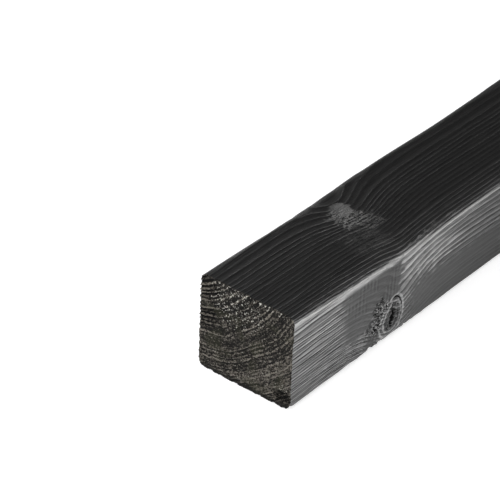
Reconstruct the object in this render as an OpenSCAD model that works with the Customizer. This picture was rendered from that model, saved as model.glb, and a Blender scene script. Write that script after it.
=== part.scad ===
// Planed garden post of square section with four rounded arrises and square-cut ends.
// It lies on its underside along X, and the origin is at the middle of that underside.

/* [Section] */
// Width of each of the four planed faces, from face to face
side = 70; // [40:1:150]
// Radius planed onto each of the four long arrises
arris_r = 5; // [1:0.5:12]

/* [Length] */
// Length of the post from one saw cut to the other
post_l = 1800; // [300:50:4000]

/* [Hidden] */
// Fineness of the arris curves
$fn = 64;
// Distance of each arris's centre from the middle of the section
arris_offset = side / 2 - arris_r;

// The planed section, centred: two crossing strips between the arrises, and a disc at each arris
module section() {
    square([side, 2 * arris_offset], center = true);
    square([2 * arris_offset, side], center = true);
    for (across = [-1, 1], up = [-1, 1])
        translate([across * arris_offset, up * arris_offset])
            circle(r = arris_r);
}

// One sawn and planed length of pine, stained black
module post() {
    color([0.16, 0.16, 0.16])
        translate([0, 0, side / 2])
            rotate([90, 0, 90])
                linear_extrude(height = post_l, center = true)
                    section();
}

post();
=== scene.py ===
"""Dresses a black-stained pine garden post: its growth rings, knots, planed faces and sawn ends.

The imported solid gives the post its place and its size. The wood is worked out once, as a field of growth
rings round a pith that lies outside the post, with branches that bend those rings. Every face is a cut
through that one field, so the rings of a sawn end run on into the lines of the planed faces.
"""

import logging
import math
from dataclasses import dataclass, field
from enum import Enum
from typing import Sequence, Union

import bpy
import numpy as np
from mathutils import Matrix, Vector

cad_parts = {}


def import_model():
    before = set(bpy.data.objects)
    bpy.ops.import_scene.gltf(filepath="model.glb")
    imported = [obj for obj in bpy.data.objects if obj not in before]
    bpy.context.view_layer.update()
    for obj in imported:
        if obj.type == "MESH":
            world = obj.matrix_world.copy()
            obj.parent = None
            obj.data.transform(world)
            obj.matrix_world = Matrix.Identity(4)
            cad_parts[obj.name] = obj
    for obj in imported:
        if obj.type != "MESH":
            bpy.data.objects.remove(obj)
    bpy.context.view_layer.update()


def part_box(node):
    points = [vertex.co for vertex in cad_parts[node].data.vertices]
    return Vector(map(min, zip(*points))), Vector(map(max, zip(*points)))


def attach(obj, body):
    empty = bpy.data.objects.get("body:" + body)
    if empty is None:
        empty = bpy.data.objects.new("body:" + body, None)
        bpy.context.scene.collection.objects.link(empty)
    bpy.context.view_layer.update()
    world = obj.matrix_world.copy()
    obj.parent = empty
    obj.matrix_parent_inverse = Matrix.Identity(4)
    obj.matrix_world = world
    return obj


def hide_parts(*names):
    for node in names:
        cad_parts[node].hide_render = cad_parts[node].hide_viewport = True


MM = 0.001
TURN = 2.0 * math.pi
WAVES = 28
LOG = logging.getLogger("garden_post")

Array = np.ndarray
Colour = tuple[float, float, float, float]
Material = bpy.types.Material
Node = bpy.types.Node
NodeTree = bpy.types.NodeTree
Socket = bpy.types.NodeSocket
Value = Union[float, int, Sequence[float], Material, "Signal"]


# ---- node trees


class Signal:
    """The value of one socket, which is added, multiplied and eased as a number is."""

    def __init__(self, graph: "Graph", socket: Socket) -> None:
        """Takes the socket, and the graph that gets the nodes which read it."""
        self.graph = graph
        self.socket = socket

    def __add__(self, other: Value) -> "Signal":
        """Adds a value."""
        return self.graph.math("ADD", self, other)

    def __sub__(self, other: Value) -> "Signal":
        """Takes a value away."""
        return self.graph.math("SUBTRACT", self, other)

    def __rsub__(self, other: Value) -> "Signal":
        """Takes this signal away from a value."""
        return self.graph.math("SUBTRACT", other, self)

    def __mul__(self, other: Value) -> "Signal":
        """Multiplies by a value."""
        return self.graph.math("MULTIPLY", self, other)

    def __truediv__(self, other: Value) -> "Signal":
        """Divides by a value."""
        return self.graph.math("DIVIDE", self, other)

    __radd__ = __add__
    __rmul__ = __mul__

    def ease(self, low: float, high: float, start: float = 0.0, end: float = 1.0) -> "Signal":
        """Eases this signal from start, where it is low or less, to end, where it is high or more."""
        inputs = {"Value": self, "From Min": low, "From Max": high, "To Min": start, "To Max": end}
        return self.graph.get("ShaderNodeMapRange", inputs, interpolation_type="SMOOTHSTEP")

    def fade(self, end: float) -> "Signal":
        """Eases from 1, where this signal is 0, to end, where it is 1."""
        return self.ease(0.0, 1.0, 1.0, end)

    def between(self, start: float, full: float, falling: float, end: float) -> "Signal":
        """Eases up to 1 from start to full, and down to 0 again from falling to end."""
        return self.ease(start, full) * self.ease(falling, end, 1.0, 0.0)


class Graph:
    """A node tree, with short calls that add nodes and link them."""

    def __init__(self, tree: NodeTree) -> None:
        """Takes the tree that the nodes go into."""
        self.tree = tree

    def add(self, kind: str, inputs: dict[str | int, Value] | None = None, **settings: object) -> Node:
        """Adds one node.

        Args:
            kind: Blender's name for the node's type.
            inputs: a value or a signal for each input, by the input's name or number.
            settings: the node's own settings, such as its operation.

        Returns:
            The new node.
        """
        node = self.tree.nodes.new(kind)
        for name, setting in settings.items():
            setattr(node, name, setting)
        for key, value in (inputs or {}).items():
            self.feed(node.inputs[key], value)
        return node

    def feed(self, socket: Socket, value: Value) -> None:
        """Links a signal to an input, or sets the input's own value."""
        if isinstance(value, Signal):
            self.tree.links.new(value.socket, socket)
        else:
            socket.default_value = value

    def give(self, node: Node, *values: Value) -> None:
        """Feeds a node's inputs in order."""
        for socket, value in zip(node.inputs, values):
            self.feed(socket, value)

    def get(self, kind: str, inputs: dict[str | int, Value] | None = None, output: str | int = 0,
            **settings: object) -> Signal:
        """Adds one node and returns the signal of one of its outputs."""
        return Signal(self, self.add(kind, inputs, **settings).outputs[output])

    def signals(self, node: Node) -> list[Signal]:
        """Returns the signals of a node's outputs."""
        return [Signal(self, socket) for socket in node.outputs]

    def group(self, tree: NodeTree, *values: Value) -> list[Signal]:
        """Adds a node group, feeds its inputs in order and returns the signals of its outputs."""
        return self.signals(self.add("ShaderNodeGroup", dict(enumerate(values)), node_tree=tree))

    def math(self, operation: str, *values: Value, clamp: bool = False) -> Signal:
        """Adds a Math node and returns its result."""
        return self.get("ShaderNodeMath", dict(enumerate(values)), operation=operation, use_clamp=clamp)

    def largest(self, first: Value, *others: Value) -> Signal:
        """Returns the largest of some values."""
        for other in others:
            first = self.math("MAXIMUM", first, other)
        return first

    def split(self, vector: Value) -> list[Signal]:
        """Returns the three parts of a vector."""
        return self.signals(self.add("ShaderNodeSeparateXYZ", {0: vector}))

    def join(self, *parts: Value) -> Signal:
        """Returns a vector made of three parts."""
        return self.get("ShaderNodeCombineXYZ", dict(enumerate(parts)))

    def stretch(self, vector: Value, x: float, y: float) -> Signal:
        """Multiplies the first two parts of a vector."""
        return self.get("ShaderNodeVectorMath", {0: vector, 1: (x, y, 1.0)}, operation="MULTIPLY")

    def noise(self, vector: Value, scale: float, detail: float = 2.0, roughness: float = 0.5) -> Signal:
        """Adds a Noise Texture and returns its value, which lies round 0.5."""
        inputs = {"Vector": vector, "Scale": scale, "Detail": detail, "Roughness": roughness}
        return self.get("ShaderNodeTexNoise", inputs)

    def blend(self, share: Value, first: Value, second: Value) -> Signal:
        """Mixes two numbers: share 0 gives the first, and 1 the second."""
        return self.get("ShaderNodeMix", {0: share, 2: first, 3: second}, data_type="FLOAT")

    def tint(self, share: Value, first: Value, second: Value) -> Signal:
        """Mixes two colours: share 0 gives the first, and 1 the second."""
        return self.get("ShaderNodeMix", {0: share, 6: first, 7: second}, 2, data_type="RGBA")

    def attribute(self, name: str, output: str = "Vector") -> Signal:
        """Reads one of the mesh's own attributes."""
        return self.get("ShaderNodeAttribute", output=output, attribute_name=name)

    def place(self) -> Signal:
        """Reads the place in the object's own frame."""
        return self.get("ShaderNodeTexCoord", output="Object")

    def bump(self, height: Value, distance: float) -> Signal:
        """Returns normals that lean as a surface of this height would."""
        return self.get("ShaderNodeBump", {"Strength": 1.0, "Distance": distance, "Height": height})

    def surface(self, inputs: dict[str, Value]) -> None:
        """Adds the Principled shader that the material shows."""
        self.give(self.add("ShaderNodeOutputMaterial"), self.get("ShaderNodeBsdfPrincipled", inputs))


def socketed_tree(name: str, kind: str, inputs: dict[str, str],
                  outputs: dict[str, str]) -> tuple[Graph, list[Signal], Node]:
    """Makes an empty node tree with named sockets.

    Args:
        name: the tree's name.
        kind: Blender's name for the tree's type.
        inputs: the socket type of each input, by its name.
        outputs: the socket type of each output, by its name.

    Returns:
        The tree's graph, the signals of its inputs and the node that takes its outputs.
    """
    tree = bpy.data.node_groups.new(name, kind)
    for direction, sockets in (("INPUT", inputs), ("OUTPUT", outputs)):
        for label, sort in sockets.items():
            tree.interface.new_socket(label, in_out=direction, socket_type="NodeSocket" + sort)
    graph = Graph(tree)
    return graph, graph.signals(graph.add("NodeGroupInput"))[:len(inputs)], graph.add("NodeGroupOutput")


def placed(name: str, data: bpy.types.ID) -> bpy.types.Object:
    """Adds an object to the scene and returns it."""
    added = bpy.data.objects.new(name, data)
    bpy.context.scene.collection.objects.link(added)
    return added


# ---- the wood


def eased(value: Array, low: float | Array, high: float | Array) -> Array:
    """Eases a value from 0, where it is low or less, to 1, where it is high or more."""
    share = np.clip((value - low) / (high - low), 0.0, 1.0)
    return share * share * (3.0 - 2.0 * share)


def faded(value: Array, low: float | Array, high: float | Array) -> Array:
    """Eases a value from 1, where it is low or less, to 0, where it is high or more."""
    return 1.0 - eased(value, low, high)


def ripple(points: Array, along: float, across: float, seed: int) -> Array:
    """Gives the height of a smooth random field, made of sine waves, at each point.

    Args:
        points: one point to a row.
        along: the waves' length along the grain, more or less.
        across: their length across the grain.
        seed: the field's own seed.

    Returns:
        Heights that lie round 0, with a spread of 1.
    """
    rng = np.random.default_rng(seed)
    directions = rng.normal(size=(WAVES, 3))
    directions /= np.linalg.norm(directions, axis=1, keepdims=True)
    rates = rng.uniform(0.6, 1.7, (WAVES, 1))
    turns = TURN * directions * rates / np.array([along, across, across])
    phases = rng.uniform(0.0, TURN, WAVES)
    return np.sin(points @ turns.T + phases).sum(axis=1) * math.sqrt(2.0 / WAVES)


@dataclass(frozen=True)
class GrowthRings:
    """How wide each year's ring is, from the pith outwards."""

    radii: tuple[float, ...] = (0.0, 0.05, 0.092, 0.120, 0.150)
    widths: tuple[float, ...] = (0.0033, 0.0030, 0.0027, 0.0025, 0.0022)
    spread: float = 0.16
    years: int = 80
    seed: int = 5

    def age(self, radius: Array) -> Array:
        """Gives the wood's age at each distance from the pith.

        Args:
            radius: distances from the pith.

        Returns:
            Ages in years, with the part of the year that the wood grew in.
        """
        rng = np.random.default_rng(self.seed)
        borders = [0.0]
        for luck in rng.normal(1.0, self.spread, self.years):
            width = np.interp(borders[-1], self.radii, self.widths)
            borders.append(borders[-1] + float(width) * max(luck, 0.5))
        return np.interp(radius, borders, np.arange(len(borders)))


class Knot(Enum):
    """How a branch is tied into the trunk: the distance out from the pith at which it died, if it did."""

    LIVE = 9.0
    DEAD = 0.08


@dataclass(frozen=True)
class Branch:
    """A branch that grew out of the pith, and shows as a knot where a face cuts it."""

    station: float
    heading: float
    radius: float
    lean: float = 0.0
    knot: Knot = Knot.LIVE
    oval: float = 1.0
    growth: float = 0.045

    def place(self, points: Array, root: Array) -> tuple[Array, Array, Array]:
        """Gives each point's place beside this branch.

        Args:
            points: one point to a row.
            root: where the branch leaves the pith.

        Returns:
            The offset along the grain, the offset across it, and the distance out from the pith.
        """
        lean, heading = math.radians(self.lean), math.radians(self.heading)
        level = math.cos(lean)
        outwards = np.array([math.sin(lean), level * math.cos(heading), level * math.sin(heading)])
        grain = np.array([1.0, 0.0, 0.0]) - outwards[0] * outwards
        grain /= np.linalg.norm(grain)
        across = np.cross(outwards, grain)
        offset = points - root
        return offset @ grain, self.oval * (offset @ across), offset @ outwards

    def girth(self, reach: Array) -> Array:
        """Gives the branch's radius at each distance out from the pith."""
        return self.radius * (1.0 - np.exp(-np.clip(reach, 0.5 * MM, None) / self.growth))


@dataclass
class FigureSample:
    """What the wood is like at each of a row of points.

    The ring's age, the place across the grain, and the place in the nearest knot in knot radii, with how
    dead that knot is.
    """

    ring: Array
    across: Array
    knot: Array


@dataclass(frozen=True)
class WoodFigure:
    """The growth rings and branches of the trunk that the post was cut from."""

    foot: float
    branches: tuple[Branch, ...] = ()
    pith: tuple[float, float] = (0.049, 0.101)
    wander: float = 0.005
    wander_length: float = 1.3
    taper: float = 0.004
    grain_radius: float = 0.09
    collar: float = 0.0115
    collar_reach: float = 0.024
    lee: float = 0.45
    rings: GrowthRings = field(default_factory=GrowthRings)

    def pith_at(self, x: Array) -> tuple[Array, Array]:
        """Gives the pith's place across and up at each place along the post."""
        turn = TURN * (x - self.foot) / self.wander_length
        across = self.pith[0] - self.wander * np.sin(turn)
        return across, self.pith[1] + 0.6 * self.wander * np.sin(1.7 * turn + 0.4)

    def sample(self, points: Array) -> FigureSample:
        """Reads the wood at each point.

        Args:
            points: one point to a row.

        Returns:
            What the wood is like there.
        """
        pith_y, pith_z = self.pith_at(points[:, 0])
        dy, dz = points[:, 1] - pith_y, points[:, 2] - pith_z
        radius = np.hypot(dy, dz)
        across = np.arctan2(dz, dy) * self.grain_radius
        swell = np.zeros(len(points))
        nearest = np.full(len(points), 1.0)
        knot = np.zeros((len(points), 3))
        knot[:, 0] = 9.0
        for branch in self.branches:
            x = self.foot + branch.station
            u, v, reach = branch.place(points, np.array([x, *self.pith_at(x)]))
            girth = branch.girth(reach)
            spread = np.hypot(u, v)
            gap = np.where(reach > 0.0, spread - girth, 1.0)
            lee = np.sqrt(1.0 - self.lee * eased(-u / branch.radius, -0.8, 1.6))
            outside = np.clip(gap, 0.0, None) / (self.collar_reach * lee)
            swell += self.collar * (girth / branch.radius) * lee * np.exp(-outside ** 1.5)
            pull = (girth / np.maximum(spread, girth)) ** 2 * np.exp(-(spread / (4.0 * branch.radius)) ** 2)
            across = across - v * np.where(reach > 0.0, pull, 0.0)
            closer = gap < nearest
            nearest = np.where(closer, gap, nearest)
            died = branch.knot.value
            lumps = 1.0 + 0.05 * np.sin(3.0 * np.arctan2(v, u) + 60.0 * branch.station)
            local = np.stack([(u - 0.14 * v) / girth * lumps, v / girth * lumps,
                              eased(reach, died, died + 0.02)], axis=1)
            far = np.clip(np.hypot(local[:, 0], local[:, 1]) / 6.0, 1.0, None)
            local[:, :2] /= far[:, None]
            knot = np.where(closer[:, None], local, knot)
        slow = ripple(points, 0.30, 0.05, 21)
        quick = ripple(points, 0.045, 0.012, 22)
        trunk = radius + self.taper * (points[:, 0] - self.foot) - swell + 0.0005 * slow + 0.00012 * quick
        return FigureSample(self.rings.age(trunk), across, knot)


def latewood(ring: Array) -> Array:
    """Gives how far each ring age lies in the hard, dark wood that ends a year, from 0 to 1."""
    part = ring - np.floor(ring)
    return eased(part, 0.30, 0.80) * faded(part, 0.90, 1.0)


# ---- what happened to the post


@dataclass(frozen=True)
class Chip:
    """A splinter that is broken out of the lower right arris."""

    station: float
    length: float
    reach: float
    depth: float


class Face(Enum):
    """The long faces that carry marks, by the way each looks across and up."""

    RIGHT = (-1.0, 0.0)
    TOP = (0.0, 1.0)


class FaceMark(Enum):
    """What has happened to a place on a long face, and where sheen is painted on it."""

    TORN = "torn out by the planer's knives"
    PRESSED = "pressed smooth by the planer's rollers"
    # On the right face this mark is painted sheen, lightening the lifted grain where the light catches it;
    # on the top it is real rubbing.
    RUBBED_AND_SHEEN = "rubbed light on its raised grain"


@dataclass(frozen=True)
class FacePlace:
    """A marked place on a long face, measured from the foot and from the face's lower or right edge."""

    mark: FaceMark
    face: Face
    station: float
    level: float
    length: float
    height: float
    strength: float = 1.0
    fades: tuple[float, float] = (0.16, 0.16)

    def share(self, x: Array, y: Array, z: Array, outwards: Array) -> Array:
        """Gives how much of this mark each point carries.

        Args:
            x: distances from the foot end.
            y: distances from the right face.
            z: heights above the underside.
            outwards: which way the surface faces.

        Returns:
            Shares from 0 to this mark's strength.
        """
        across, upwards = self.face.value
        along = (x - self.station) / self.length
        up = np.abs((z if across else y) - self.level) / self.height
        inside = faded(up, 0.75, 1.05) * eased(along, -1.0, self.fades[0] - 1.0)
        inside *= faded(along, 1.0 - self.fades[1], 1.0)
        if self.mark is FaceMark.TORN:
            inside = faded(np.hypot(along, up), 0.6, 1.1)
        facing = outwards[:, 1] * across + outwards[:, 2] * upwards
        return self.strength * inside * eased(facing, 0.5, 0.9)


@dataclass(frozen=True)
class WornArris:
    """A long arris that planing and handling rounded further than its corners at the sawn ends."""

    side: int
    level: int
    radius: float
    corner: float
    spread: float = 0.7 * MM
    corner_reach: float = 0.095

    def radius_at(self, points: Array, inwards: Array) -> Array:
        """Gives how round this arris is beside each point.

        Args:
            points: points on the post.
            inwards: their distances from the nearer sawn end.

        Returns:
            Radii in metres.
        """
        waver = self.spread * ripple(points, 0.16, 0.5, 17 + self.side + 3 * self.level)
        grown = np.clip(inwards / self.corner_reach, 0.0, 1.0)
        return self.corner + (self.radius - self.corner + waver) * grown

    def rounded(self, section: Array, outwards: Array, half: float, before: float,
                radius: Array) -> tuple[Array, Array]:
        """Spreads the points beside this arris evenly round its worn curve.

        Args:
            section: the points' places in the section, from its middle.
            outwards: which way the surface faces at each, in the section.
            half: half the width of the post.
            before: how round the arris was before it wore.
            radius: how round the arris is beside each.

        Returns:
            The points' new places, and which way the surface faces there.
        """
        signs = np.array([self.side, self.level])
        facing = outwards * signs
        eighth = np.pi / 4.0
        turn = np.arctan2(facing[:, 1], facing[:, 0]) - eighth
        flat = np.clip(half - before - section * signs, 0.0, None)
        along = (before * turn + flat[:, 0] - flat[:, 1]) / (radius - before * (1.0 - eighth))
        near = (facing > -1e-3).all(axis=1) & (np.abs(along) < 1.0) & (np.hypot(*facing.T) > 0.5)
        angle = eighth * (1.0 + along)
        curve = np.stack([np.cos(angle), np.sin(angle)], axis=1)
        moved = half - radius[:, None] * (1.0 - curve)
        near = near[:, None]
        return np.where(near, moved * signs, section), np.where(near, curve * signs, outwards)

    def highlight_band(self, below: Array, facing: Array, radius: Array) -> Array:
        """Gives how far each point lies in the strip of painted highlight beside an upper arris, where its
        rounding catches the light.

        Args:
            below: distances down from the top.
            facing: how squarely each point faces out of this arris's own side.
            radius: how round the arris is beside each.

        Returns:
            Shares from 0 to 1.
        """
        below = below - 0.5 * radius
        share = eased(below, 1.2 * MM, 2.9 * MM) * faded(below, 3.8 * MM, 8.2 * MM)
        return share * eased(facing, 0.6, 0.85) * (self.level > 0)


class EndMark(Enum):
    """What the saw did to the wood at a place on a sawn end."""

    HOLLOW = "torn out"
    FISSURES = "opened between the rings"
    TUFTS = "left standing in pale tips"


@dataclass(frozen=True)
class EndPlace:
    """An oval place on the foot's sawn end, measured from its lower corner by the rear face."""

    mark: EndMark
    across: float
    up: float
    width: float
    height: float
    strength: float = 1.0

    def share(self, across: Array, up: Array, ragged: Array) -> Array:
        """Gives how much of this mark each point of the end carries.

        Args:
            across: distances from the rear face.
            up: heights above the underside.
            ragged: a random height at each point, which breaks up the oval's edge.

        Returns:
            Shares from 0, outside, to this mark's strength.
        """
        away = np.hypot((across - self.across) / self.width, (up - self.up) / self.height)
        return self.strength * faded(away + 0.12 * ragged, 0.55, 1.1)


# ---- the post


@dataclass
class Surface:
    """The post's surface before it is carved.

    The blank's points and their places in the section from its middle, the points once the arrises are worn,
    which way the surface faces there, and the wood there.
    """

    blank: Array
    section: Array
    points: Array
    outwards: Array
    wood: FigureSample


@dataclass
class GardenPost:
    """One sawn and planed post, with its wood's figure carved into its faces and ends.

    Fine places are a distance from the foot, a reach to each side and the spacing of the sections there. The
    slant is how far the foot's saw cut runs out of square across the post.
    """

    low: Vector
    high: Vector
    arris: float
    planed: Material
    sawn: Material
    figure: WoodFigure
    fine_places: tuple[tuple[float, float, float], ...]
    worn: tuple[WornArris, ...]
    face_places: tuple[FacePlace, ...]
    chips: tuple[Chip, ...]
    end_places: tuple[EndPlace, ...]
    divisions: int = 80
    sections: int = 271
    widest_spacing: float = 9.5 * MM
    skin: float = 0.50 * MM
    ring_relief: float = 0.46 * MM
    slant: float = 3.0 * MM
    slant_reach: float = 0.06

    @property
    def length(self) -> float:
        """Length from saw cut to saw cut."""
        return self.high.x - self.low.x

    @property
    def side(self) -> float:
        """Width of a planed face."""
        return self.high.y - self.low.y

    def stations(self) -> Array:
        """Places the sections along the post, closest together where most is carved.

        Returns:
            Distances from the foot end, from 0 to the post's length.
        """
        x = np.linspace(0.0, self.length, 12001)
        widest = self.widest_spacing
        spacing = np.full_like(x, widest)
        for centre, reach, wanted in self.fine_places:
            share = eased(np.abs(x - centre), reach, 2.2 * reach + 6.0 * MM)
            spacing = np.minimum(spacing, wanted + (widest - wanted) * share)
        count = np.concatenate([[0.0], np.cumsum(np.diff(x) / spacing[1:])])
        return np.interp(np.linspace(0.0, count[-1], self.sections), count, x)

    def blank_tree(self) -> NodeTree:
        """Builds the tree that sweeps the rounded section along a line of stations.

        Returns:
            A Geometry Nodes tree whose geometry input is the line of stations.
        """
        inputs = {
            "Stations": "Geometry", "Length": "Float", "Side": "Float", "Arris Radius": "Float",
            "Divisions": "Int", "Planed Finish": "Material", "Sawn Finish": "Material",
        }
        graph, given, made = socketed_tree("planed_blank", "GeometryNodeTree", inputs, {"Blank": "Geometry"})
        line, length, side, arris, divisions, planed, sawn = given
        count = graph.get("GeometryNodeAttributeDomainSize", {0: line}, "Point Count", component="MESH")
        block = graph.get("GeometryNodeMeshCube", {
            "Size": graph.join(length, side, side),
            "Vertices X": count,
            "Vertices Y": divisions + 1.0,
            "Vertices Z": divisions + 1.0,
        })
        position = graph.get("GeometryNodeInputPosition")
        x, y, z = graph.split(position)
        half = side * 0.5
        flat = half - arris
        place = graph.get("GeometryNodeSampleIndex", {
            "Geometry": line,
            "Value": position,
            "Index": graph.math("ROUND", (x / length + 0.5) * (count - 1.0)),
        }, data_type="FLOAT_VECTOR", domain="POINT")
        held = [graph.largest(graph.math("MINIMUM", value, flat), flat * -1.0) for value in (y, z)]
        beyond = [value - inner for value, inner in zip((y, z), held)]
        reach = graph.math("SQRT", beyond[0] * beyond[0] + beyond[1] * beyond[1])
        widest = graph.largest(*(graph.math("ABSOLUTE", part) for part in beyond))
        scale = widest / graph.largest(reach, 1e-9)
        across, up = (inner + part * scale for inner, part in zip(held, beyond))
        moved = graph.get("GeometryNodeSetPosition", {
            "Geometry": block,
            "Position": graph.join(graph.split(place)[0], across, up + half),
        })
        facing = graph.split(graph.get("GeometryNodeInputNormal"))[0]
        at_end = graph.math("GREATER_THAN", graph.math("ABSOLUTE", facing), 0.5)
        dressed = graph.get("GeometryNodeSetMaterial", {"Geometry": moved, "Material": planed})
        solid = graph.get("GeometryNodeRealizeInstances", {"Geometry": dressed})
        ends = {"Geometry": solid, "Selection": at_end, "Material": sawn}
        graph.give(made, graph.get("GeometryNodeSetMaterial", ends))
        return graph.tree

    def blank(self) -> bpy.types.Mesh:
        """Makes the smooth post, before anything is carved into it.

        Returns:
            A closed mesh of square cells.
        """
        line = bpy.data.meshes.new("stations")
        line.from_pydata([(self.low.x + x, 0.0, 0.0) for x in self.stations()], [], [])
        holder = placed("stations", line)
        modifier = holder.modifiers.new("planed_blank", "NODES")
        modifier.node_group = self.blank_tree()
        values = {
            "Length": self.length, "Side": self.side, "Arris Radius": self.arris,
            "Divisions": self.divisions, "Planed Finish": self.planed, "Sawn Finish": self.sawn,
        }
        for item in modifier.node_group.interface.items_tree:
            if item.item_type == "SOCKET" and item.in_out == "INPUT" and item.name in values:
                modifier[item.identifier] = values[item.name]
        mesh = bpy.data.meshes.new_from_object(holder.evaluated_get(bpy.context.evaluated_depsgraph_get()))
        mesh.name = "post"
        holder.modifiers.remove(modifier)
        bpy.data.objects.remove(holder)
        bpy.data.meshes.remove(line)
        return mesh

    def build(self) -> bpy.types.Object:
        """Makes the whole post.

        Returns:
            The post as one closed mesh object.
        """
        mesh = self.blank()
        points = np.empty(len(mesh.vertices) * 3, np.float32)
        mesh.vertices.foreach_get("co", points)
        points = points.reshape(-1, 3).astype(float)
        middle = np.array([0.0, (self.low.z + self.high.z) / 2.0])
        section = points[:, 1:] - middle
        flat = self.side / 2.0 - self.arris
        beyond = section - np.clip(section, -flat, flat)
        reach = np.linalg.norm(beyond, axis=1)
        skin = reach > self.arris * 0.999
        shape, facing = section, beyond / np.maximum(reach, 1e-9)[:, None] * skin[:, None]
        x = points[:, 0] - self.low.x
        inwards = np.minimum(x, self.high.x - points[:, 0])
        for worn in self.worn:
            radius = worn.radius_at(points, inwards)
            shape, facing = worn.rounded(shape, facing, self.side / 2.0, self.arris, radius)
        rounded = np.column_stack([points[:, 0], shape + middle])
        outwards = np.column_stack([np.zeros(len(points)), facing])
        at = Surface(points, section, rounded, outwards, self.figure.sample(rounded))
        end = (inwards < 1e-6) * np.where(x < self.length / 2.0, -1.0, 1.0)
        sawn_wear = self.end_wear(at)
        wear_and_painted_light = np.where((end != 0.0)[:, None] & ~skin[:, None], sawn_wear, self.wear_and_painted_light(at))
        carved = rounded - outwards * (self.face_depth(at, wear_and_painted_light) * skin)[:, None]
        carved[:, 0] -= end * self.end_depth(at, sawn_wear)
        carved[:, 0] += self.slant * (0.5 - section[:, 0] / self.side) * faded(x, 0.0, self.slant_reach)
        mesh.vertices.foreach_set("co", carved.astype(np.float32).ravel())
        self.store(mesh, at, wear_and_painted_light)
        self.sharpen_rims(mesh, skin & (end != 0.0))
        mesh.update()
        return placed("garden_post", mesh)

    def wear_and_painted_light(self, at: Surface) -> Array:
        """Gives how torn and how pressed each point of the surface is, and how pale it is from rubbing and
        from painted highlight and sheen.

        Args:
            at: the post's surface.

        Returns:
            Three numbers to a row, each from 0 to 1.
        """
        u, v, dead = at.wood.knot.T
        spread = np.hypot(u, v)
        rough = ripple(at.points, 0.006, 0.004, 31)
        torn = eased(-u, 0.3, 0.8) * eased(spread, 1.0, 1.12) * faded(spread + 0.25 * rough, 1.5, 2.0)
        torn *= dead * eased(v, -0.7, -0.2) * faded(v, 0.9, 1.5)
        x, y, z = (at.points[:, axis] - self.low[axis] for axis in range(3))
        smooth = 0.55 * eased(ripple(at.points, 0.22, 0.035, 32), 0.4, 1.6) * (x > 0.25)
        slow = ripple(at.points, 0.07, 0.02, 33)
        # Painted highlight: a light strip below each upper arris, where its rounding catches the light,
        # strongest near the foot end, and a thin light line along the upper arris of the rear face.
        strong = 0.4 + 0.1 * slow + 0.40 * faded(x, 0.03, 0.13) + 0.15 * faded(x, 0.14, 0.18)
        crest_highlight = np.exp(-(((at.outwards[:, 1] - 0.55) / 0.2) ** 2)) * (at.outwards[:, 2] > 0.0)
        highlight_and_rub = 0.15 * crest_highlight
        for worn in self.worn:
            radius = worn.radius_at(at.points, np.minimum(x, self.length - x))
            highlight_band = worn.highlight_band(self.side - z, at.outwards[:, 1] * worn.side, radius)
            highlight_and_rub = np.maximum(highlight_and_rub, highlight_band * strong)
        shares = {FaceMark.TORN: torn, FaceMark.PRESSED: smooth, FaceMark.RUBBED_AND_SHEEN: highlight_and_rub}
        shift = 1.8 * MM * rough
        for place in self.face_places:
            share = place.share(x + shift, y, z + shift + 1.0 * MM * slow, at.outwards)
            shares[place.mark] = np.maximum(shares[place.mark], share)
        return np.clip(np.stack([shares[mark] for mark in FaceMark], axis=1), 0.0, 1.0)

    def face_depth(self, at: Surface, wear_and_painted_light: Array) -> Array:
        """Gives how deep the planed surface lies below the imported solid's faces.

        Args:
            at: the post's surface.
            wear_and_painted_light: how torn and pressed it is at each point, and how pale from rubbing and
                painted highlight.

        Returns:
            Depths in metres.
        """
        step = np.stack([np.zeros(len(at.points)), -at.outwards[:, 2], at.outwards[:, 1]], axis=1) * MM
        pace = np.abs(self.figure.sample(at.points + step).ring - at.wood.ring)
        upper = eased(np.abs(at.outwards[:, 2]), 0.7, 0.95)
        x = at.points[:, 0] - self.low.x
        bold = 0.5 + 0.5 * eased(x, 0.03, 0.10) - 0.35 * eased(x, 0.14, 0.20)
        ridge = latewood(at.wood.ring) * faded(pace, 0.34, 0.55) * bold
        ridge *= (1.0 - 0.9 * wear_and_painted_light[:, 1]) * (1.0 - 0.55 * upper)
        depth = self.skin - self.ring_relief * ridge
        depth += 0.08 * MM * ripple(at.points, 0.25, 0.05, 41)
        depth += self.knot_depth(at, wear_and_painted_light)
        for chip in self.chips:
            depth += self.chip_depth(chip, at.points)
        return np.maximum(depth, 0.0)

    def knot_depth(self, at: Surface, wear_and_painted_light: Array) -> Array:
        """Gives how deep the wood is cut by the knots' checks, seams and torn grain.

        Args:
            at: the post's surface.
            wear_and_painted_light: how torn and pressed it is at each point, and how pale from rubbing and
                painted highlight.

        Returns:
            Depths in metres, less than 0 where a knot stands proud.
        """
        u, v, dead = at.wood.knot.T
        spread = np.hypot(u, v)
        rough = ripple(at.points, 0.004, 0.003, 51)
        bend = 0.10 - 0.5 * (v - 0.05) ** 2 + 0.05 * rough
        width = 0.05 + 0.17 * np.clip(1.0 - (v / 0.85) ** 2, 0.0, None)
        check = faded(np.abs(u - bend) / width, 0.4, 1.0) * faded(np.abs(v), 0.7, 0.9)
        fork = faded(np.abs(v - 0.05 - 1.2 * u), 0.05, 0.22) * eased(u, 0.0, 0.1) * faded(u, 0.3, 0.5)
        seam = faded(np.abs(spread - 1.0), 0.02, 0.10) * eased(u + 0.3 * v, -0.3, 0.4)
        inner = faded(np.abs(spread - 0.68), 0.03, 0.11)
        core = faded(spread + 0.08 * rough, 0.58, 0.72)
        pits = eased(ripple(at.points, 0.0045, 0.003, 52), -0.1, 1.2)
        halo = eased(spread, 0.9, 1.1) * faded(spread, 1.2, 2.2)
        depth = 0.45 * core + 2.4 * np.maximum(check, 0.7 * fork) + 1.2 * seam + 0.5 * inner
        depth = dead * (depth + 0.9 * pits * wear_and_painted_light[:, 0])
        return (depth + 0.15 * halo - 0.25 * faded(spread, 0.85, 1.05)) * MM

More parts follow.
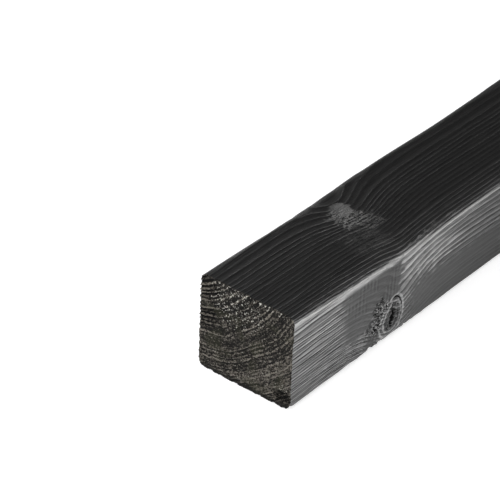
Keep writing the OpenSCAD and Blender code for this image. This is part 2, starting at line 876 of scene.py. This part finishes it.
    def chip_depth(self, chip: Chip, points: Array) -> Array:
        """Gives how deep one chip cuts at each point."""
        along = (points[:, 0] - self.low.x - chip.station) / chip.length
        away = np.hypot(points[:, 1] - self.low.y, points[:, 2] - self.low.z) / chip.reach
        ragged = 0.25 * ripple(points, 0.006, 0.003, 61)
        return chip.depth * np.clip(1.0 - along ** 2 - away ** 2 + ragged * (away < 1.0), 0.0, 1.0)

    def end_wear(self, at: Surface) -> Array:
        """Gives how hollow, fissured and tufted each point of a sawn end is.

        Args:
            at: the post's surface.

        Returns:
            Three numbers to a row, each from 0 to 1.
        """
        ragged = ripple(at.blank, 0.05, 0.006, 74)
        foot = at.blank[:, 0] < (self.low.x + self.high.x) / 2.0
        across, up = self.high.y - at.blank[:, 1], at.blank[:, 2] - self.low.z
        rows = []
        for mark in EndMark:
            far = 0.6 * eased(ripple(at.blank, 0.05, 0.025, 75 + len(rows)), 0.5, 1.6)
            share = np.where(foot | (mark is EndMark.HOLLOW), 0.0, far)
            for place in self.end_places:
                if place.mark is mark:
                    share = np.maximum(share, place.share(across, up, ragged) * foot)
            rows.append(share)
        return np.stack(rows, axis=1)

    def end_depth(self, at: Surface, wear_and_painted_light: Array) -> Array:
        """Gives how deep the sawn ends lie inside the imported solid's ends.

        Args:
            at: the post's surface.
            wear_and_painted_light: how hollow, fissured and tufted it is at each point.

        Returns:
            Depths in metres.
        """
        rim = self.side / 2.0 - np.abs(at.section).max(axis=1)
        soft = 1.0 - latewood(at.wood.ring)
        coarse = ripple(at.blank, 0.03, 0.009, 71)
        fuzz = ripple(at.blank, 0.01, 0.0024, 72)
        strong = eased(ripple(at.blank, 0.03, 0.016, 73), -0.8, 1.0)
        depth = 0.15 + 0.28 * soft * (0.4 + 0.9 * strong) + 0.05 * coarse + 0.09 * fuzz
        depth += 0.55 * faded(rim, 0.0, 1.6 * MM) * eased(coarse + fuzz, -0.8, 1.4)
        depth += soft * wear_and_painted_light[:, 1] + 2.4 * wear_and_painted_light[:, 0] * (0.8 + 0.2 * fuzz)
        return np.maximum(depth, 0.0) * MM

    def store(self, mesh: bpy.types.Mesh, at: Surface, wear_and_painted_light: Array) -> None:
        """Keeps the wood's figure on the mesh, for the finishes to read.

        Args:
            mesh: the post's mesh.
            at: the post's surface.
            wear_and_painted_light: how worn the long faces and the ends are, with the long faces' painted
                highlight and sheen, three numbers to a point.
        """
        upper = eased(np.abs(at.outwards[:, 2]), 0.36, 0.60)
        flow = np.stack([at.points[:, 0] - self.low.x, at.wood.across, upper], axis=1)
        ring = mesh.attributes.new("ring", "FLOAT", "POINT")
        ring.data.foreach_set("value", at.wood.ring.astype(np.float32))
        for name, rows in (("flow", flow), ("knot", at.wood.knot), ("wear_and_painted_light", wear_and_painted_light)):
            stored = mesh.attributes.new(name, "FLOAT_VECTOR", "POINT")
            stored.data.foreach_set("vector", rows.astype(np.float32).ravel())

    def sharpen_rims(self, mesh: bpy.types.Mesh, rim: Array) -> None:
        """Keeps the edge between a planed face and a sawn end crisp.

        Args:
            mesh: the post's mesh.
            rim: which of its points lie on that edge.
        """
        pairs = np.empty(len(mesh.edges) * 2, np.int32)
        mesh.edges.foreach_get("vertices", pairs)
        crisp = rim[pairs].reshape(-1, 2).all(axis=1)
        mesh.polygons.foreach_set("use_smooth", np.ones(len(mesh.polygons), bool))
        mesh.edges.foreach_set("use_edge_sharp", crisp)


# ---- finishes


def ring_tree() -> NodeTree:
    """Builds the group that turns a ring age into early and late wood, which both finishes use.

    Returns:
        A tree that puts out Latewood and Ridge, from 0 to 1, the first fainter in some years, and Year, a
        random tone for each year.
    """
    graph, (ring, flow, waver, faintest), made = socketed_tree(
        "growth_rings", "ShaderNodeTree",
        {"Ring": "Float", "Flow": "Vector", "Waver": "Float", "Faintest": "Float"},
        {"Latewood": "Float", "Ridge": "Float", "Year": "Float"})
    sway = graph.noise(graph.stretch(flow, 60.0, 420.0), 1.0, 3.0, 0.6) - 0.5
    age = ring + sway * waver
    ridge = graph.math("FRACT", age).between(0.30, 0.80, 0.90, 1.0)
    year = graph.get("ShaderNodeTexWhiteNoise", {"W": graph.math("FLOOR", age)}, noise_dimensions="1D")
    graph.give(made, ridge * graph.blend(year, faintest, 1.0), ridge, year)
    return graph.tree


def empty_material(name: str) -> tuple[Material, Graph]:
    """Makes a material with an empty node tree.

    Args:
        name: the material's name.

    Returns:
        The material and its graph.
    """
    material = bpy.data.materials.new(name)
    material.use_nodes = True
    material.node_tree.nodes.clear()
    return material, Graph(material.node_tree)


@dataclass(frozen=True)
class PlanedStain:
    """Black stain on planed pine: a thin satin film that shows every ring and fibre under it."""

    rings: NodeTree
    early: Colour = (0.006, 0.006, 0.006, 1.0)
    late: Colour = (0.020, 0.0197, 0.0193, 1.0)
    # Pale wood where the stain is worn off, also the colour of the painted highlight and sheen.
    dry_and_highlight: Colour = (0.42, 0.416, 0.408, 1.0)
    # Black for the dead knots' own dark core, and painted shade in checks, seams and torn grain.
    knot_and_shade_black: Colour = (0.002, 0.002, 0.002, 1.0)
    fibre_length: float = 0.04
    knife_step: float = 0.0034

    def build(self) -> Material:
        """Makes the material.

        Returns:
            The finish of the four long faces.
        """
        material, graph = empty_material("planed_black_stain")
        place = graph.place()
        ring, flow = graph.attribute("ring", "Fac"), graph.attribute("flow")
        along, across, upper = graph.split(flow)
        torn, pressed, highlight_and_rub = graph.split(graph.attribute("wear_and_painted_light"))
        u, v, dead = graph.split(graph.attribute("knot"))
        late = graph.group(self.rings, ring, flow, 0.22, 0.4)[0]
        mottle = graph.noise(flow, 420.0, 2.0, 0.6)
        speck = graph.noise(graph.stretch(flow, 900.0, 1500.0), 1.0, 2.0, 0.7)
        shred = graph.noise(graph.stretch(flow, 420.0, 800.0), 1.0, 3.0, 0.75)
        grit = graph.noise(place, 1000.0, 1.0, 0.6)

        # The rings, long soft streaks, short fine fibres, and two even lines to a year
        run = along / self.fibre_length
        streak = graph.noise(graph.join(run, across * 900.0, ring * 2.2), 1.0, 2.0, 0.55) - 0.5
        fibre = graph.noise(graph.join(run * 2.2, across * 2600.0, ring * 6.0), 1.0, 2.0, 0.6) - 0.5
        sway = graph.noise(graph.join(along * 30.0, across * 160.0, ring), 1.0)
        late = late * pressed.fade(0.12) * upper.fade(0.75)
        loose = pressed.fade(0.22) * upper.fade(0.75)
        line = graph.math("SINE", (ring * 2.0 + sway * 1.1) * TURN) * 0.5
        line = line * loose * loose * along.ease(0.05, 0.11, 1.0, 0.3)

        # The knots, from the middle outwards
        spread = graph.math("SQRT", u * u + v * v)
        core = dead * spread.ease(0.66, 0.80, 1.0, 0.0)
        broken = spread + (mottle - 0.5) * 0.9
        tied = broken.ease(0.75, 1.0, 1.0, 0.0) * (1.0 - dead) * u.ease(-1.0, 0.3, 0.25, 1.0)
        years = graph.noise(graph.join(u * 8.0, v * 2.4, 0.0), 1.0, 3.0, 0.7).ease(0.42, 0.60)
        bark = dead * spread.between(0.76, 0.82, 0.88, 0.93) * mottle.ease(0.35, 0.6, 0.3, 1.0)
        seam = dead * spread.between(0.94, 0.98, 1.02, 1.08) * (u + v * 0.3).ease(-0.1, 0.5)
        lip = dead * spread.between(1.06, 1.11, 1.16, 1.26)
        bend = v * v * -0.5 + (speck - 0.5) * 0.3 + 0.10
        crack = dead * (graph.math("ABSOLUTE", u - bend) + v * v * 0.24).ease(0.13, 0.19, 1.0, 0.0)

        # Where the stain is worn off, with painted highlight and sheen on the upper arris and chosen ridges,
        # and where the wood is black: the knots' own dark, and painted shade in checks, seams and torn grain
        raised = (late * 0.65 + streak * 0.6 + fibre * 0.8) * 0.7 + highlight_and_rub * 0.85
        dots = (grit + streak * 0.7 + late * 0.06).ease(0.50, 0.60) * highlight_and_rub.ease(0.0, 0.45) * 0.36
        worn = graph.blend(upper, raised.ease(0.20, 1.10) * highlight_and_rub.ease(0.0, 0.1) * 0.85, dots)
        frayed = (torn * shred.ease(0.56, 0.60) * 1.6 + bark + lip) * u.ease(-0.6, 0.2, 1.0, 0.35) * 0.36
        worn = graph.largest(worn, frayed, tied * speck.ease(0.35, 0.62, 0.06, 0.28))
        worn = graph.math("MINIMUM", worn, 1.0)
        # Painted shade: the dead knot's checks and seam and the holes of torn grain are painted black as
        # well as cut; its core is the knot's own dark wood.
        black = graph.largest(core * years.ease(0.0, 1.0, 0.8, 0.0), seam, crack,
                              torn * shred.ease(0.48, 0.53, 1.0, 0.0))
        colour = graph.tint(late * 0.8 + streak * loose * 1.6 + 0.22, self.early, self.late)
        colour = graph.tint(black, graph.tint(worn, colour, self.dry_and_highlight), self.knot_and_shade_black)

        # The film that shines over it
        chatter = graph.math("SINE", along * (TURN / self.knife_step) + mottle * 5.0)
        chatter = chatter * graph.noise(flow, 95.0).ease(0.46, 0.62) * along.ease(0.10, 0.13, 1.0, 0.0)
        film = (late * 0.52 + streak * loose * 0.24 + fibre * loose * 0.85 + line * 0.36 + 0.204
                + chatter * pressed * 0.04 + highlight_and_rub * (1.0 - upper) * 0.14
                + pressed * along.ease(0.10, 0.13, -0.07, 0.0) + (bark + lip + worn) * 0.3)
        # The film is glossier towards the foot end, and thins towards the underside as painted shade in the
        # sheen, where the side mirrors the floor beside the post in the post's shadow.
        film = film * along.ease(0.02, 0.24, 1.44, 0.62) * upper.fade(0.58)
        film = film * graph.split(place)[2].ease(0.006, 0.022, 0.83, 1.0)
        film = graph.math("MAXIMUM", film, 0.04, clamp=True) * (1.0 - black)
        lift = (late * 0.8 + streak * loose * 0.6 + line * 0.65 + fibre * loose * 0.5 + years * core * 0.6
                + speck * (tied + torn) * 0.8 + grit * highlight_and_rub * upper)
        bump = graph.bump(lift, 0.0004)
        graph.surface({
            "Base Color": colour, "Roughness": graph.blend(graph.largest(tied, black), 0.62, 0.9),
            "Normal": bump, "IOR": 1.5, "Specular IOR Level": 0.1,
            "Coat Weight": film, "Coat Roughness": 0.32, "Coat IOR": 4.0, "Coat Normal": bump,
        })
        return material


@dataclass(frozen=True)
class SawnEndGrain:
    """Black stain soaked into a rough saw cut, dull and brownish, with pale torn fibre tips."""

    rings: NodeTree
    soft: Colour = (0.006, 0.0055, 0.005, 1.0)
    hard: Colour = (0.24, 0.218, 0.187, 1.0)
    tip: Colour = (0.80, 0.79, 0.72, 1.0)
    moss: Colour = (0.060, 0.062, 0.036, 1.0)
    # Painted shade in the fissures, in the torn hollow and along the lower edge.
    gap: Colour = (0.0025, 0.0025, 0.0025, 1.0)

    def build(self) -> Material:
        """Makes the material.

        Returns:
            The finish of the two sawn ends.
        """
        material, graph = empty_material("sawn_end_grain")
        place, ring = graph.place(), graph.attribute("ring", "Fac")
        across = graph.split(graph.attribute("flow"))[1]
        hollow, fissured, tufted = graph.split(graph.attribute("wear_and_painted_light"))
        shift = graph.join(0.0, across * 0.8, ring * 0.4)
        late, ridge, year = graph.group(self.rings, ring, shift, 0.6, 0.45)
        speck = graph.noise(place, 1000.0, 2.0, 0.7) - 0.5
        mottle = graph.noise(place, 110.0, 3.0, 0.6) - 0.5
        dash = graph.noise(graph.join(across * 240.0, ring * 2.6, 0.0), 1.0, 2.0, 0.6) - 0.5
        clean = graph.noise(place, 38.0).ease(0.40, 0.58, 0.5, 1.0)
        bold = graph.noise(graph.join(ring * 0.7, across * 6.0, 0.0), 1.0, 0.0).ease(0.40, 0.62, -0.12, 0.18)
        strong = year.ease(0.35, 0.9, 0.5, 1.4) * (dash + speck * 0.8).ease(-0.12, 0.12, 0.4, 1.6)
        tone = (late * clean * strong + bold + ring.ease(20.0, 44.0, -0.15, 0.12) + fissured * late * 0.6
                + speck * 3.0 + mottle * 0.7 + dash * 2.0)
        mossy = graph.noise(place, 70.0, 1.0).ease(0.52, 0.66, 0.0, 0.25)
        tips = (speck + dash * 0.5 + late * tufted * 0.10 + tufted * 0.085).ease(0.225, 0.285)
        # Painted shade: the end darkens along its lower edge beside the floor, and its fissures and torn
        # hollow are painted dark as shade in them.
        level = graph.split(place)[2] + mottle * 0.006
        dark = graph.largest(
            fissured * ridge.ease(0.05, 0.5, 1.0, 0.0),
            hollow * speck.ease(-0.1, 0.1, 1.0, 0.5),
            level.ease(0.0018, 0.0052, 0.85, 0.0),
        )
        colour = graph.tint(tone, self.soft, self.hard)
        for share, over in ((mossy, self.moss), (tips, self.tip), (dark, self.gap)):
            colour = graph.tint(share, colour, over)
        lift = late * clean * 0.8 + speck * 1.2 + dash * 1.4 + mottle + dark * -0.8
        graph.surface({
            "Base Color": colour, "Roughness": 0.85, "Normal": graph.bump(lift, 0.0014),
            "IOR": 1.45, "Specular IOR Level": 0.2,
        })
        return material


# ---- the studio


@dataclass(frozen=True)
class Softbox:
    """A studio lamp with a broad rectangular face, turned towards a point."""

    name: str
    place: tuple[float, float, float]
    aim: tuple[float, float, float]
    width: float
    height: float
    power: float

    def build(self) -> None:
        """Makes the lamp and turns it to its aim."""
        data = bpy.data.lights.new(self.name, "AREA")
        data.shape = "RECTANGLE"
        data.size, data.size_y, data.energy = self.width, self.height, self.power
        lamp = placed(self.name, data)
        lamp.location = self.place
        lamp.rotation_euler = (Vector(self.aim) - Vector(self.place)).to_track_quat("-Z", "Y").to_euler()
        lamp.visible_camera = False


@dataclass(frozen=True)
class Studio:
    """The pale floor, the lamps and the grey room round the post."""

    lamps: tuple[Softbox, ...]
    floor_half: float = 40.0
    floor_colour: Colour = (0.86, 0.86, 0.86, 1.0)
    room: float = 0.04

    def build(self) -> None:
        """Makes everything that isn't part of the post."""
        self.floor()
        self.world()
        for lamp in self.lamps:
            lamp.build()
        bpy.context.scene.view_settings.view_transform = "Standard"

    def floor(self) -> None:
        """Makes the floor, which looks white where no shadow falls on it."""
        mesh = bpy.data.meshes.new("studio_floor")
        half = self.floor_half
        corners = [(-half, -half, 0), (half, -half, 0), (half, half, 0), (-half, half, 0)]
        mesh.from_pydata(corners, [], [(0, 1, 2, 3)])
        material, graph = empty_material("pale_floor")
        rays = ("Is Camera Ray", "Is Glossy Ray", "Is Transmission Ray")
        seen = graph.largest(*(graph.get("ShaderNodeLightPath", output=ray) for ray in rays))
        away = graph.get("ShaderNodeVectorMath", {0: graph.place()}, "Value", operation="LENGTH")
        paint = graph.get("ShaderNodeBsdfDiffuse", {"Color": self.floor_colour})
        glow = graph.get("ShaderNodeEmission", {"Strength": seen * away.ease(1.2, 4.0, 0.5, 0.85)})
        both = graph.get("ShaderNodeAddShader", {0: paint, 1: glow})
        graph.give(graph.add("ShaderNodeOutputMaterial"), both)
        mesh.materials.append(material)
        floor = placed("studio_floor", mesh)

    def world(self) -> None:
        """Makes the grey room that lights the post from all round."""
        world = bpy.data.worlds.new("grey_room")
        world.use_nodes = True
        world.node_tree.nodes.clear()
        graph = Graph(world.node_tree)
        light = graph.get("ShaderNodeBackground", {"Color": (1.0, 1.0, 1.0, 1.0), "Strength": self.room})
        graph.give(graph.add("ShaderNodeOutputWorld"), light)
        bpy.context.scene.world = world


@dataclass(frozen=True)
class ViewPoint:
    """Where the camera stands, from the lower corner of the foot end, and which way it looks."""

    corner: Vector
    offset: tuple[float, float, float] = (-0.9396, -0.7341, 0.9959)
    heading: float = 39.22
    dip: float = 36.32
    roll: float = 2.32
    lens: float = 189.5
    sensor: float = 36.0

    def build(self) -> None:
        """Makes the camera and makes it the scene's own."""
        data = bpy.data.cameras.new("camera")
        data.lens, data.sensor_width = self.lens, self.sensor
        data.clip_start, data.clip_end = 0.05, 200.0
        turn = Matrix.Rotation(math.radians(self.heading - 90.0), 4, "Z")
        turn @= Matrix.Rotation(math.radians(90.0 - self.dip), 4, "X")
        turn @= Matrix.Rotation(math.radians(self.roll), 4, "Z")
        camera = placed("camera", data)
        camera.matrix_world = Matrix.Translation(self.corner + Vector(self.offset)) @ turn
        bpy.context.scene.camera = camera


def main() -> None:
    """Builds the post, its finishes and the studio round it, in order."""
    logging.basicConfig(level=logging.INFO, format="%(name)s: %(message)s")
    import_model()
    low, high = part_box("post")
    figure = WoodFigure(foot=low.x, branches=(
        Branch(0.1100, 226.8, 0.0104, -5.0, Knot.DEAD, oval=1.13),
        Branch(0.49, 251.0, 0.0085, -8.0),
        Branch(0.50, 207.0, 0.0070, -6.0, Knot.DEAD),
        Branch(0.86, 232.0, 0.0090, -7.0),
        Branch(1.23, 214.0, 0.0080, -5.0),
        Branch(1.24, 256.0, 0.0065, -9.0, Knot.DEAD),
        Branch(1.61, 240.0, 0.0095, -6.0),
    ))
    pressed, rubbed_and_sheen, torn = FaceMark.PRESSED, FaceMark.RUBBED_AND_SHEEN, FaceMark.TORN
    right, top = Face.RIGHT, Face.TOP
    rings = ring_tree()
    post = GardenPost(
        low=low, high=high, arris=0.005, figure=figure,
        planed=PlanedStain(rings).build(), sawn=SawnEndGrain(rings).build(),
        fine_places=(
            (0.0, 0.002, 0.001), (0.06, 0.030, 0.0032), (0.105, 0.022, 0.00105),
            (0.19, 0.045, 0.004), (0.50, 0.018, 0.003), (0.87, 0.015, 0.003),
            (1.24, 0.018, 0.003), (1.62, 0.015, 0.003), (1.8, 0.002, 0.001),
        ),
        worn=(
            WornArris(-1, 1, 0.0148, 0.0056),
            WornArris(1, 1, 0.0085, 0.0054),
            WornArris(-1, -1, 0.0056, 0.0052, 0.0002),
            WornArris(1, -1, 0.0064, 0.0054, 0.0003),
        ),
        face_places=(
            FacePlace(pressed, right, 0.075, 0.046, 0.034, 0.017, 1.0, (0.5, 0.14)),
            FacePlace(pressed, right, 0.169, 0.014, 0.058, 0.018, 0.95, (0.2, 0.4)),
            FacePlace(pressed, right, 0.079, 0.009, 0.0055, 0.0065, 1.0, (0.4, 0.3)),
            FacePlace(torn, right, 0.085, 0.028, 0.006, 0.008),
            FacePlace(pressed, right, 0.066, 0.027, 0.022, 0.010, 0.8, (0.6, 0.5)),
            FacePlace(torn, right, 0.079, 0.019, 0.009, 0.0045, 0.6),
            # Painted sheen on the right face: right of the knot, and near the foot below the arris.
            FacePlace(rubbed_and_sheen, right, 0.150, 0.050, 0.052, 0.0145, 0.38, (0.3, 1.3)),
            FacePlace(rubbed_and_sheen, right, 0.020, 0.052, 0.034, 0.009, 0.20, (0.5, 0.5)),
            FacePlace(rubbed_and_sheen, top, 0.102, 0.042, 0.011, 0.011, 0.55, (0.5, 0.2)),
            FacePlace(rubbed_and_sheen, top, 0.106, 0.029, 0.013, 0.008, 0.22, (0.8, 0.3)),
            FacePlace(rubbed_and_sheen, top, 0.092, 0.020, 0.020, 0.016, 0.12, (0.6, 0.6)),
        ),
        chips=(
            Chip(0.0805, 0.005, 0.0055, 0.0024),
            Chip(0.090, 0.005, 0.005, 0.0012),
            Chip(0.1165, 0.006, 0.0045, 0.0013),
            Chip(0.0, 0.004, 0.005, 0.0015),
        ),
        end_places=(
            EndPlace(EndMark.HOLLOW, 0.0635, 0.008, 0.008, 0.0045),
            EndPlace(EndMark.FISSURES, 0.001, 0.060, 0.015, 0.012),
            EndPlace(EndMark.FISSURES, 0.001, 0.040, 0.014, 0.009),
            EndPlace(EndMark.TUFTS, 0.027, 0.057, 0.024, 0.018),
            EndPlace(EndMark.TUFTS, 0.036, 0.068, 0.034, 0.004),
            EndPlace(EndMark.TUFTS, 0.062, 0.015, 0.007, 0.005, 0.7),
        ),
    )
    piece = post.build()
    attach(piece, "root")
    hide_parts("post")
    LOG.info("%s: %d points, %d faces", piece.name, len(piece.data.vertices), len(piece.data.polygons))
    Studio(lamps=(
        Softbox("side_softbox", (-0.9, -1.6, 1.0), (-0.7, 0.0, 0.05), 1.5, 1.0, 20.0),
        Softbox("top_softbox", (-1.3, -0.6, 2.3), (-0.5, 0.0, 0.0), 2.4, 2.0, 18.0),
        Softbox("rear_softbox", (-1.5, 1.9, 1.5), (-0.6, 0.0, 0.0), 2.0, 1.2, 36.0),
        Softbox("end_softbox", (-2.8, 0.25, 0.8), (-0.9, 0.0, 0.03), 1.2, 1.2, 20.0),
        Softbox("far_softbox", (2.6, 0.0, 0.6), (0.9, 0.0, 0.03), 1.2, 1.0, 11.0),
    )).build()
    ViewPoint(Vector((low.x, low.y, low.z))).build()


if __name__ == "__main__":
    main()
